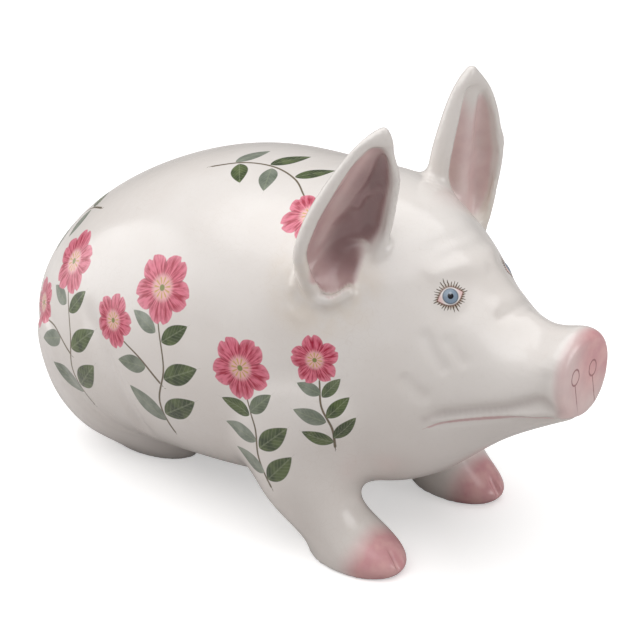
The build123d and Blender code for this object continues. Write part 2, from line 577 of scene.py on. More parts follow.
    def back_skin(self, own: Clay) -> Array:
        """Thin wall at the ear's back that stays whatever is scooped out in front.

        Args:
            own: Block that holds the ear alone.

        Returns:
            Signed distances of the wall.
        """
        ends = np.array([self.place(0.0, 0.0, 0.0), self.place(1.0, 0.0, 0.0)])
        block, gap, _ = own.near(ends, 45.0)
        grid = np.meshgrid(*(own.axis(i)[s] for i, s in enumerate(block)), indexing="ij")
        share, across, behind = self.local(np.stack(grid, -1).reshape(-1, 3))
        _, depth = self.size(np.clip(share, 0, 1))
        reach = np.hypot(across, np.maximum(behind, 0)) * depth
        wall = np.full(own.shape, 1e3, np.float32)
        wall[block] = (depth - self.back_wall - reach).reshape(gap.shape)
        return np.maximum(own.distance, wall)

    def fold(self, own: Clay) -> None:
        """Folds the floor of the ear, or fills it where it lies shallow.

        Args:
            own: Block that holds the ear alone.
        """
        if self.floor_fill:
            own.rope(self.line((0.1, 0.35, 0.5, 0.65, 0.82), [0.15] * 5, 0.72), self.floor_fill, 9.0)
            return
        gully = own.settle(self.line((0.3, 0.38, 0.47, 0.62, 0.78), [-0.7] * 5, 0.2))
        own.stroke(gully, *self.gully)
        ridge = own.settle(self.line((0.2, 0.32, 0.47, 0.62, 0.76), [-0.5] * 5, 0.35))
        own.stroke(ridge, *self.ridge)
        fold = own.settle(self.line((0.22, 0.36, 0.54, 0.7, 0.82), (-0.24, -0.12, 0.02, 0.12, 0.1), 0.45))
        own.stroke(fold, *self.main_fold)
        second = own.settle(self.line((0.5, 0.6, 0.68), (0.2, 0.42, 0.66), 0.4))
        own.stroke(second, *self.second_fold)

    def stain(self, points: Array) -> Array:
        """Strength of the blush at points in the scoop, which keeps off the lobe."""
        if not self.scoop:
            return np.zeros(len(points))
        path = spline(self.scoop, 5)
        radii = np.interp(np.linspace(0, 1, len(path)), np.linspace(0, 1, len(self.scoop)), self.scoop_radii)
        gap = (np.linalg.norm(points[:, None] - path, axis=2) - radii).min(axis=1)
        lobe = np.array(spline(self.lobe, 5))
        reach = np.linalg.norm(points[:, None] - lobe, axis=2)
        nearest = lobe[reach.argmin(axis=1)]
        outward = nearest - np.array(self.scoop[1])
        beyond = np.einsum("ij,ij->i", points - nearest, outward) / np.linalg.norm(outward, axis=1)
        off_lobe = smooth_step(4.2, 5.6, reach.min(axis=1)) * smooth_step(-1.5, -4.0, beyond)
        return smooth_step(8.0, 3.5, gap) * off_lobe

    def dress(self, skin: "Skin", own: Clay) -> None:
        """Brushes the blush into the ear's hollow, dark rose-brown into the hollow that is partly painted shade in
        the deep cup, and a warm yellow-brown tint round its root.

        Args:
            skin: Skin to paint.
            own: Block that holds the ear alone.
        """
        points = skin.points
        share, across, behind = self.local(points)
        facing = -skin.outward @ self.frame()[3]
        inside = smooth_step(0.06, 0.36, behind) * smooth_step(0.1, 0.5, facing) * (np.abs(across) < 1.1)
        inside *= smooth_step(0.1, 0.18, share) * (share < 1) * smooth_step(3.0, 1.5, own.sample(points))
        inside = np.maximum(inside, self.stain(points) * smooth_step(0.05, 0.3, facing))
        skin.brush("blush", self.blush * inside)
        # Painted shade: the deep cup of the hollow gets extra dark rose-brown on top of the hollow's own tint.
        cup = smooth_step(-0.25, 0.25, across) * smooth_step(0.95, 0.7, share) * smooth_step(0.16, 0.3, share)
        skin.brush("mauve_and_painted_shade", inside * (self.mauve_and_painted_shade[0] + self.mauve_and_painted_shade[1] * cup))
        root = np.linalg.norm(points - np.array(self.place(0.16, 0.0, 0.2)), axis=1)
        skin.brush("warm", 0.4 * smooth_step(42.0, 24.0, root) * (1 - inside))

    def anchor(self) -> Point:
        """Point deep in the head under the ear."""
        return mirrored([self.depth_point], self.side)[0]

    def plug(self, points: Array) -> Array:
        """Distance of points to the unhollowed leaf, roughly, so that its cup belongs to the ear."""
        share, across, behind = self.local(points)
        _, depth = self.size(np.clip(share, 0, 1))
        reach = np.hypot(across, np.where(behind > 0, behind, behind * 3))
        return np.where(np.abs(share - 0.2) < 0.3, (reach - 1) * depth, 1e3)


@dataclass
class Crease:
    """Ridge or groove of the face, given on the pig's right side."""

    points: tuple[Point, ...]
    height: float
    width: float
    both: bool = True


@dataclass
class Face:
    """Modelling of the head: brow, cheeks, mouth, snout and the bulge of the eyes."""

    eye: Point = (144.4, -29.3, 185.2)
    eye_ahead: Point = (149.0, -22.6, 187.4)
    mouth: tuple[Point, ...] = (
        (145.0, -48.0, 108.0),
        (154.0, -43.0, 111.5),
        (172.5, -34.6, 116.2),
        (192.0, -27.3, 120.6),
        (205.0, -19.5, 121.5),
        (215.0, -11.0, 122.5),
        (218.0, 0.0, 122.5),
    )
    upper_lip: tuple[Point, ...] = (
        (145.0, -51.0, 114.0),
        (155.0, -45.2, 117.6),
        (168.0, -38.4, 121.0),
        (184.5, -32.0, 125.5),
        (197.0, -29.1, 131.0),
        (209.0, -26.9, 136.0),
        (216.0, -20.0, 130.0),
    )
    muzzle_top: tuple[Point, ...] = (
        (172.0, 0.0, 174.0),
        (190.0, 0.0, 171.0),
        (206.0, 0.0, 172.0),
        (222.0, 0.0, 176.0),
    )
    muzzle_swell: Touch = (2.8, 13.0)
    socket: Touch = (-2.4, 15.0)
    eyeball: Touch = (2.6, 7.5)
    eye_reach: tuple[float, float] = (15.0, 13.0)
    lip_crease: Touch = (-4.6, 3.4)
    lip_drop: float = 1.6
    lip_radii: tuple[float, ...] = (0.5, 2.0, 2.4, 2.4, 2.6, 2.6, 1.0)
    lip_band: Touch = (2.6, 2.4)
    mouth_groove: Touch = (-2.6, 2.2)
    creases: tuple[Crease, ...] = (
        Crease(((121, -36, 203), (127, -17, 210), (131, 0, 211), (127, 17, 210), (121, 36, 203)), -0.8, 5.0, False),
        Crease(((129, -34, 199), (135, -16, 205), (140, 0, 206), (135, 16, 205), (129, 34, 199)), -0.9, 4.5, False),
        Crease(((131, -36, 194), (138, -22, 198), (146, -9, 199), (152, 0, 196)), 1.3, 6.5),
        Crease(((168, -18, 170), (171, -10, 175), (173, 0, 176), (171, 10, 175), (168, 18, 170)), -0.9, 3.2, False),
        Crease(((163, -19, 175), (166, -10, 180), (167, 0, 181), (166, 10, 180), (163, 19, 175)), 0.8, 5.0, False),
        Crease(((138, -47, 170), (144, -47, 158), (149, -46, 151), (156, -45, 142)), -1.5, 4.2),
        Crease(((132, -60, 143), (140, -56, 133), (148, -51, 126)), -1.5, 4.6),
        Crease(((148, -41, 166), (156, -39, 156), (165, -37, 148)), -0.9, 4.0),
        Crease(((212, -27, 158), (213, -29, 147), (213, -26, 135), (213, -17, 127)), -1.6, 4.0),
    )

    def build(self, clay: Clay) -> None:
        """Models the face on both sides.

        Args:
            clay: Block that holds the whole figure.
        """
        for crease in self.creases:
            for side in Side if crease.both else (Side.RIGHT,):
                path = clay.settle(spline(mirrored(crease.points, side), 5))
                clay.stroke(path, crease.height, crease.width)
        clay.stroke(spline(self.muzzle_top, 5), *self.muzzle_swell)
        for side in Side:
            place = mirrored([self.eye], side)[0]
            clay.dab(place, *self.socket)
            clay.dab(place, *self.eyeball)
            above = self.lip_line(clay, side)
            clay.stroke(above, *self.lip_crease)
            clay.carve(above - np.array([0.0, 0.0, self.lip_drop]), self.lip_radii, 1.5)
            lip = (np.array(self.mouth) + np.array(self.upper_lip)) / 2
            clay.stroke(clay.settle(spline(mirrored(lip, side), 5)), *self.lip_band)
            clay.stroke(self.mouth_line(clay, side), *self.mouth_groove)

    def dress(self, clay: Clay, skin: "Skin") -> None:
        """Paints the snout, the lips and the eyes, and dark rose-brown painted shade along the crease above the
        upper lip.

        Args:
            clay: Block that holds the whole figure.
            skin: Skin to paint.
        """
        points = skin.points
        x, y, z = points.T
        deeper = smooth_step(-20.0, 10.0, y) * smooth_step(124.0, 150.0, z)
        skin.brush("blush", smooth_step(213.0, 220.0, x) * (0.5 + 0.6 * deeper))
        for side in Side:
            # Painted shade: a dark rose-brown band along the crease above the upper lip.
            gap = np.min([np.linalg.norm(points - place, axis=1) for place in self.lip_line(clay, side)], axis=0)
            skin.brush("mauve_and_painted_shade", 0.22 * np.exp(-((gap / 3.0) ** 2)))
            eye = clay.settle(np.array(mirrored([self.eye, self.eye_ahead], side)))
            upward = np.cross(eye[1] - eye[0], clay.slope(eye[:1])[0]) * side.value
            skin.stamp("eye", eye[0], upward, self.eye_reach, 1.0, 1.0)
            skin.trail("lip", self.mouth_line(clay, side), 4.0)

    def lip_line(self, clay: Clay, side: Side) -> Array:
        """Crease above the upper lip on one side, on the skin."""
        return clay.settle(spline(mirrored(self.upper_lip, side), 5))

    def mouth_line(self, clay: Clay, side: Side) -> Array:
        """Line between the lips on one side, on the skin."""
        return clay.settle(spline(mirrored(self.mouth, side), 6))


@dataclass
class Haunch:
    """Modelling of a hind quarter: the swell of the thigh and the crease in front of it."""

    thigh: Point = (-112.0, -103.0, 92.0)
    thigh_swell: Touch = (2.5, 30.0)
    seat: Point = (-118.0, -84.0, 34.0)
    seat_swell: Touch = (4.5, 30.0)
    groove: Touch = (-2.6, 7.0)
    crease: tuple[Point, ...] = (
        (-100, -100, 140),
        (-78, -107, 118),
        (-62, -108, 96),
        (-54, -102, 70),
        (-60, -82, 42),
    )

    def build(self, clay: Clay) -> None:
        """Models both hind quarters.

        Args:
            clay: Block that holds the whole figure.
        """
        for side in Side:
            clay.dab(mirrored([self.thigh], side)[0], *self.thigh_swell)
            clay.dab(mirrored([self.seat], side)[0], *self.seat_swell)
            clay.stroke(clay.settle(spline(mirrored(self.crease, side), 5)), *self.groove)


class Skin:
    """Mesh of the whole figure, its owners and what is painted on it."""

    CAP_DEPTH = -15.0
    ANCHOR_REACH = 48.0

    def __init__(self, points: Array, quads: Array) -> None:
        """Takes the mesh of the clay.

        Args:
            points: Points in mm.
            quads: Quads that face outward.
        """
        self.points = points
        self.quads = quads
        self.colours: dict[str, Array] = {}
        self.corners: dict[str, Array] = {}
        self.ranks: dict[str, Array] = {}
        self.owner = np.zeros(len(quads), int)
        self.outward = np.zeros_like(points)

    def around(self, values: Array) -> Array:
        """Averages values of points over the quads that meet there."""
        total = np.zeros_like(values)
        count = np.zeros(len(self.points))
        mean = values[self.quads].mean(1)
        for corner in self.quads.T:
            np.add.at(total, corner, mean)
            np.add.at(count, corner, 1)
        return total / np.maximum(count, 1).reshape([-1] + [1] * (values.ndim - 1))

    def relax(self, passes: int, low: Array, high: Array) -> None:
        """Smooths the mesh without shrinking it and keeps it inside a box.

        Args:
            passes: Number of passes.
            low: Lowest corner of the box.
            high: Highest corner of the box.
        """
        for _ in range(passes):
            for share in (0.55, -0.57):
                self.points += share * (self.around(self.points) - self.points)
        self.points = np.clip(self.points, low, high)

    def centres(self) -> Array:
        """Middles of the quads."""
        return self.points[self.quads].mean(1)

    def find_outward(self) -> None:
        """Works out the outward directions at the points."""
        corner = self.points[self.quads]
        across = np.cross(corner[:, 2] - corner[:, 0], corner[:, 3] - corner[:, 1])
        total = np.zeros_like(self.points)
        for column in self.quads.T:
            np.add.at(total, column, across)
        self.outward = total / np.maximum(np.linalg.norm(total, axis=1, keepdims=True), 1e-9)

    def brush(self, layer: str, values: Array) -> None:
        """Brushes a stain on, where it is stronger than what is there."""
        self.colours[layer] = np.maximum(self.colours.get(layer, 0.0), values)

    def settle_owners(self, owner: Array, count: int) -> None:
        """Gives each quad to a piece and cleans ragged borders by majority.

        Args:
            owner: Index of the nearest piece for each quad.
            count: Number of pieces.
        """
        for _ in range(6):
            votes = np.zeros((len(self.points), count))
            for column in self.quads.T:
                np.add.at(votes, (column, owner), 1)
            owner = votes[self.quads].sum(1).argmax(1)
        self.owner = owner

    def stamp(
        self, layer: str, place: Array, upward: Array, half: tuple[float, float], tone: float, unit: float
    ) -> None:
        """Lays the flat coordinates of one painted element on the skin round its place.

        Args:
            layer: Painted layer.
            place: Point on the skin at the element's middle.
            upward: Direction of the element's second coordinate.
            half: Half its width and half its height, in mm.
            tone: Value that marks the element, 1 to 2.
            unit: Length that counts as 1, in mm.
        """
        reach = 1.15 * max(half)
        offset = self.points - place
        length = np.linalg.norm(offset, axis=1)
        near = np.flatnonzero(length < 1.5 * reach)
        normal = self.normal_at(place)
        up = upward - (upward @ normal) * normal
        up /= np.linalg.norm(up)
        right = np.cross(up, normal)
        flat = np.stack([offset[near] @ right, offset[near] @ up], 1)
        stretch = length[near] / np.maximum(np.linalg.norm(flat, axis=1), 1e-6)
        flat *= np.minimum(stretch, 1.6)[:, None]
        values = np.full((len(self.points), 3), np.nan, np.float32)
        values[near, :2] = flat / unit
        values[near, 2] = tone
        rank = np.full(len(self.points), np.inf)
        rank[near] = np.hypot(*(flat / half).T)
        rank[(length > reach) | (self.outward @ normal < 0.1)] = np.inf
        self.lay(layer, values, rank)

    def normal_at(self, place: Array) -> Array:
        """Outward direction of the skin near a place."""
        gap = np.linalg.norm(self.points - place, axis=1)
        weight = np.exp(-((gap / 5.0) ** 2))
        normal = (self.outward * weight[:, None]).sum(0)
        return normal / np.linalg.norm(normal)

    def trail(self, layer: str, path: Array, reach: float) -> None:
        """Lays the coordinates of a painted line on the skin: distance to one side, and share along.

        Args:
            layer: Painted layer.
            path: Points along the line, on the skin.
            reach: Distance that is covered each side, in mm.
        """
        low, high = path.min(0) - 3 * reach, path.max(0) + 3 * reach
        near = np.flatnonzero(((self.points > low) & (self.points < high)).all(1))
        points, normals = self.points[near], self.outward[near]
        best = np.full(len(near), 1e9)
        values = np.full((len(self.points), 3), np.nan, np.float32)
        for index, (a, b) in enumerate(zip(path[:-1], path[1:])):
            stretch = b - a
            share = np.clip((points - a) @ stretch / (stretch @ stretch), 0, 1)
            offset = points - a - share[:, None] * stretch
            gap = np.linalg.norm(offset, axis=1)
            closer = gap < best
            best = np.where(closer, gap, best)
            sign = np.sign((np.cross(stretch, normals) * offset).sum(1))
            chosen = near[closer]
            values[chosen, 0] = (gap * sign)[closer]
            values[chosen, 1] = (index + share[closer]) / (len(path) - 1)
            values[chosen, 2] = 1.0
        values[near[best > 2 * reach]] = np.nan
        rank = np.full(len(self.points), np.inf)
        rank[near] = np.where(best < reach, best, np.inf)
        self.lay(layer, values, rank)

    def lay(self, layer: str, values: Array, rank: Array) -> None:
        """Gives the quads of a painted layer to an element where it is nearer than those before it.

        Args:
            layer: Painted layer.
            values: Three values at each point.
            rank: How far from the element's middle each point is.
        """
        shown = self.corners.setdefault(layer, np.zeros((len(self.quads), 4, 3), np.float32))
        ranks = self.ranks.setdefault(layer, np.full(len(self.quads), np.inf))
        nearest = rank[self.quads].min(1)
        faces = np.flatnonzero((nearest < ranks) & np.isfinite(values[self.quads, 0]).all(1))
        ranks[faces] = nearest[faces]
        shown[faces] = values[self.quads[faces]]

    def piece(self, name: str, index: int, clay: Clay, anchors: Sequence[Point]) -> bpy.types.Object:
        """Cuts one piece out of the skin and closes it where it joins its neighbours.

        Args:
            name: Name of the new object.
            index: Index of the piece among the owners.
            clay: Block that the skin was drawn from.
            anchors: Deep points that rims near them are closed towards.

        Returns:
            The new object.
        """
        chosen = np.flatnonzero(self.owner == index)
        used, local = np.unique(self.quads[chosen], return_inverse=True)
        mesh = bpy.data.meshes.new(name)
        mesh.from_pydata((self.points[used] * MM).tolist(), [], local.reshape(-1, 4).tolist())
        for layer, values in self.colours.items():
            mesh.attributes.new(layer, "FLOAT", "POINT").data.foreach_set("value", values[used].astype(np.float32))
        for layer, values in self.corners.items():
            target = mesh.attributes.new(layer, "FLOAT_VECTOR", "CORNER")
            target.data.foreach_set("vector", values[chosen].reshape(-1))
        sculpt = bmesh.new()
        sculpt.from_mesh(mesh)
        caps = self.close(sculpt, clay, np.array(anchors))
        sculpt.to_mesh(mesh)
        sculpt.free()
        mesh.shade_smooth()
        mesh.normals_split_custom_set_from_vertices(self.outward[used].tolist() + [(0.0, 0.0, 1.0)] * caps)
        piece = bpy.data.objects.new(name, mesh)
        bpy.context.scene.collection.objects.link(piece)
        LOG.info("%s: %d faces, %d of them caps", name, len(mesh.polygons), len(mesh.polygons) - len(chosen))
        return piece

    def close(self, sculpt: bmesh.types.BMesh, clay: Clay, anchors: Array) -> int:
        """Closes each open rim with a cone that ends deep in the clay.

        Args:
            sculpt: Mesh with open rims.
            clay: Block that the skin was drawn from.
            anchors: Deep points that rims near them are closed towards.

        Returns:
            Number of cones.
        """
        waiting = {edge for edge in sculpt.edges if edge.is_boundary}
        cones = 0
        while waiting:
            rim, edges = [waiting.pop()], []
            while rim:
                edge = rim.pop()
                edges.append(edge)
                joined = {other for vertex in edge.verts for other in vertex.link_edges if other in waiting}
                waiting -= joined
                rim.extend(joined)
            middle = np.mean([edge.verts[0].co for edge in edges], axis=0) / MM
            deep = clay.settle(middle[None], self.CAP_DEPTH)[0]
            gaps = np.linalg.norm(anchors - middle, axis=1)
            if gaps.min() < self.ANCHOR_REACH:
                deep = anchors[gaps.argmin()]
            apex = sculpt.verts.new(deep * MM)
            for edge in edges:
                corner = edge.link_loops[0]
                sculpt.faces.new((corner.link_loop_next.vert, corner.vert, apex))
            cones += 1
        return cones


@dataclass(frozen=True)
class Pattern:
    """Flat drawing of a sprig in mm, with its foot at the origin and growing along +Y.

    Attributes:
        stems: Points of each stem.
        blooms: Centre and diameter of each blossom.
        leaves: Foot, direction in degrees and length of each leaf.
    """

    stems: tuple[tuple[tuple[float, float], ...], ...]
    blooms: tuple[tuple[float, float, float], ...]
    leaves: tuple[tuple[float, float, float, float], ...]


SPRAY = Pattern(
    stems=(((0, 0), (3, 22), (-2, 44), (5, 70)), ((0, 33), (14, 43), (28, 49))),
    blooms=((6, 84, 38), (38, 57, 30)),
    leaves=(
        (2, 9, 35, 27),
        (1, 14, 146, 27),
        (-2, 37, 152, 25),
        (11, 40, -8, 21),
        (0, 57, 142, 20),
        (5, 61, 20, 19),
    ),
)
TWIG = Pattern(
    stems=(((0, 0), (-2, 18), (2, 36), (0, 54)),),
    blooms=((0, 69, 36),),
    leaves=((0, 5, 32, 24), (-1, 9, 148, 23), (1, 24, 26, 25), (0, 28, 154, 22), (1, 45, 28, 19), (0, 43, 150, 19)),
)
ARCH = Pattern(
    stems=(((0, 0), (18, 10), (38, 13), (58, 8), (74, -2)),),
    blooms=((87, -12, 34),),
    leaves=((11, 8, 76, 22), (15, 7, -44, 21), (33, 14, 68, 24), (37, 11, -58, 22), (56, 10, 52, 22)),
)


@dataclass(frozen=True)
class Sprig:
    """One painted sprig: where its foot stands, which way it grows and what it shows."""

    pattern: Pattern
    foot: Point
    grow: Point
    size: float = 1.0
    flip: int = 1


@dataclass
class Bouquet:
    """Flowers painted over the figure."""

    sprigs: tuple[Sprig, ...] = (
        Sprig(SPRAY, (-100, -107, 54), (-0.2, 0, 1), 1.22, -1),
        Sprig(SPRAY, (-18, -110, 60), (0.0, 0, 1), 1.22, -1),
        Sprig(TWIG, (62, -98, 56), (-0.25, 0, 1), 1.15),
        Sprig(TWIG, (100, -80, 92), (-0.35, 0, 1), 0.85, -1),
        Sprig(TWIG, (-190, -40, 66), (-0.1, 0, 1), 1.05, -1),
        Sprig(ARCH, (-128, -62, 190), (-0.3, 0.9, 0.3), 1.15, -1),
        Sprig(ARCH, (-44, -34, 228), (0.1, 1, 0), 1.15),
        Sprig(SPRAY, (-96, 107, 54), (-0.1, 0, 1), 1.22),
        Sprig(SPRAY, (-6, 109, 62), (0.0, 0, 1), 1.22, -1),
        Sprig(TWIG, (-176, 60, 66), (0.1, 0, 1), 1.05),
        Sprig(TWIG, (56, 97, 70), (-0.1, 0, 1), 1.0),
        Sprig(TWIG, (-112, 56, 200), (0.7, 0.4, 0.4), 1.05),
    )

    def paint(self, clay: Clay, skin: Skin) -> None:
        """Lays every sprig on the skin.

        Args:
            clay: Block that holds the whole figure.
            skin: Skin to paint.
        """
        count = 0
        for sprig in self.sprigs:
            for stem in sprig.pattern.stems:
                line = spline([(x, y, 0.0) for x, y in stem], 8)[:, :2]
                skin.trail("stem", self.lay(clay, sprig, line), 3.0)
            for x, y, wide in sprig.pattern.blooms:
                count += 1
                middle, top = self.lay(clay, sprig, np.array([(x, y), (x, y + wide / 4)]))
                half = wide * sprig.size / 2
                skin.stamp("bloom", middle, top - middle, (half, half), 1 + count * 0.382 % 1, half)
            for x, y, angle, length in sprig.pattern.leaves:
                count += 1
                turn = math.radians(angle)
                along = length * np.array([math.cos(turn), math.sin(turn)])
                middle, tip = self.lay(clay, sprig, np.array([x, y]) + np.outer((0.5, 0.9), along))
                long = length * sprig.size
                skin.stamp("leaf", middle, tip - middle, (0.27 * long, 0.5 * long), 1 + count * 0.618 % 1, long)
        LOG.info("%d sprigs painted, %d flowers and leaves", len(self.sprigs), count)

    def lay(self, clay: Clay, sprig: Sprig, flat: Array) -> Array:
        """Walks from a sprig's foot over the skin to points of its drawing.

        Args:
            clay: Block that holds the whole figure.
            sprig: Sprig that the drawing belongs to.
            flat: Points of the drawing.

        Returns:
            Points on the skin.
        """
        foot = clay.settle(np.array([sprig.foot], float))
        normal = clay.slope(foot)[0]
        up = np.array(sprig.grow, float)
        up -= (up @ normal) * normal
        up /= np.linalg.norm(up)
        right = np.cross(up, normal) * sprig.flip
        heading = (flat[:, :1] * right + flat[:, 1:] * up) * sprig.size
        steps = 1 + int(np.linalg.norm(heading, axis=1).max() / 8)
        places = np.repeat(foot, len(flat), 0)
        pace = np.linalg.norm(heading, axis=1, keepdims=True) / steps
        for _ in range(steps):
            slope = clay.slope(places)
            heading -= (heading * slope).sum(1, keepdims=True) * slope
            heading /= np.maximum(np.linalg.norm(heading, axis=1, keepdims=True), 1e-9)
            places = clay.settle(places + heading * pace)
        return places


class Wire:
    """Output of a shader node, with operators for the maths on it."""

    def __init__(self, graph: "Graph", socket: bpy.types.NodeSocket) -> None:
        """Wraps a socket.

        Args:
            graph: Graph that the socket is in.
            socket: Output socket.
        """
        self.graph = graph
        self.socket = socket

    def math(self, operation: str, *others: "Value") -> "Wire":
        """Adds a maths node that starts with this wire."""
        return self.graph.maths(operation, self, *others)

    def __add__(self, other: "Value") -> "Wire":
        """Sum."""
        return self.math("ADD", other)

    def __radd__(self, other: float) -> "Wire":
        """Sum, number first."""
        return self.math("ADD", other)

    def __sub__(self, other: "Value") -> "Wire":
        """Difference."""
        return self.math("SUBTRACT", other)

    def __rsub__(self, other: float) -> "Wire":
        """Difference, number first."""
        return self.graph.maths("SUBTRACT", other, self)

    def __mul__(self, other: "Value") -> "Wire":
        """Product."""
        return self.math("MULTIPLY", other)

    def __rmul__(self, other: float) -> "Wire":
        """Product, number first."""
        return self.math("MULTIPLY", other)

    def __truediv__(self, other: "Value") -> "Wire":
        """Quotient."""
        return self.math("DIVIDE", other)

    def __rtruediv__(self, other: float) -> "Wire":
        """Quotient, number first."""
        return self.graph.maths("DIVIDE", other, self)

    def __pow__(self, power: float) -> "Wire":
        """Power."""
        return self.math("POWER", power)

    def __abs__(self) -> "Wire":
        """Size without sign."""
        return self.math("ABSOLUTE")

    def clamped(self) -> "Wire":
        """Value kept between 0 and 1."""
        return self.math("MINIMUM", 1.0).math("MAXIMUM", 0.0)

    def step(self, low: float, high: float) -> "Wire":
        """Eases from 0 at low to 1 at high."""
        settings = {"interpolation_type": "SMOOTHSTEP"}
        values = {"Value": self, "From Min": low, "From Max": high}
        return self.graph.node("ShaderNodeMapRange", settings, values)


Value = Union[Wire, float, tuple[float, ...]]


class Graph:
    """Node tree of a material or of the surround, built by calls."""

    def __init__(self, owner: Union[bpy.types.Material, bpy.types.World]) -> None:
        """Empties the owner's tree.

        Args:
            owner: Material or surround to build in.
        """
        owner.use_nodes = True
        self.tree = owner.node_tree
        self.tree.nodes.clear()
        kind = "World" if isinstance(owner, bpy.types.World) else "Material"
        self.output = self.tree.nodes.new(f"ShaderNodeOutput{kind}")

    def make(
        self, kind: str, settings: Mapping[str, object], values: Mapping[Union[str, int], Value]
    ) -> bpy.types.Node:
        """Adds one node.

        Args:
            kind: Type of the node.
            settings: Properties, set before the sockets.
            values: Numbers, colours or wires by socket.

        Returns:
            The node.
        """
        node = self.tree.nodes.new(kind)
        for name, setting in settings.items():
            setattr(node, name, setting)
        for socket, value in values.items():
            if isinstance(value, Wire):
                self.tree.links.new(value.socket, node.inputs[socket])
            else:
                node.inputs[socket].default_value = value
        return node

    def node(
        self,
        kind: str,
        settings: Mapping[str, object],
        values: Mapping[Union[str, int], Value],
        output: Union[str, int] = 0,
    ) -> Wire:
        """Adds one node and takes one of its outputs.

        Args:
            kind: Type of the node.
            settings: Properties, set before the sockets.
            values: Numbers, colours or wires by socket.
            output: Output socket to take.

        Returns:
            The output.
        """
        return Wire(self, self.make(kind, settings, values).outputs[output])

    def maths(self, operation: str, *values: Value) -> Wire:
        """Adds a maths node."""
        return self.node("ShaderNodeMath", {"operation": operation}, dict(enumerate(values)))

    def mix(self, share: Value, first: Value, second: Value) -> Wire:
        """Mixes two colours.

        Args:
            share: Share of the second colour.
            first: Colour at 0.
            second: Colour at 1.

        Returns:
            The mixed colour.
        """
        return self.node("ShaderNodeMix", {"data_type": "RGBA"}, {0: share, 6: first, 7: second}, 2)

    def painted(self, layer: str) -> tuple[Wire, Wire, Wire]:
        """The three values of a painted layer."""
        vector = self.node("ShaderNodeAttribute", {"attribute_name": layer}, {}, "Vector")
        split = self.make("ShaderNodeSeparateXYZ", {}, {"Vector": vector})
        return tuple(Wire(self, socket) for socket in split.outputs)

    def tint(self, layer: str) -> Wire:
        """The value of a layer that has one."""
        return self.node("ShaderNodeAttribute", {"attribute_name": layer}, {}, "Fac")

    def place(self) -> Wire:
        """Place on the object, in metres."""
        return self.node("ShaderNodeTexCoord", {}, {}, "Object")

    def noise(self, scale: float, detail: float = 2.0) -> Wire:
        """Noise round 0.5 over the object."""
        values = {"Vector": self.place(), "Scale": scale, "Detail": detail}
        return self.node("ShaderNodeTexNoise", {}, values, "Fac")

    def finish(self, surface: Wire) -> None:
        """Sends a shader to the owner's output."""
        self.tree.links.new(surface.socket, self.output.inputs["Surface"])


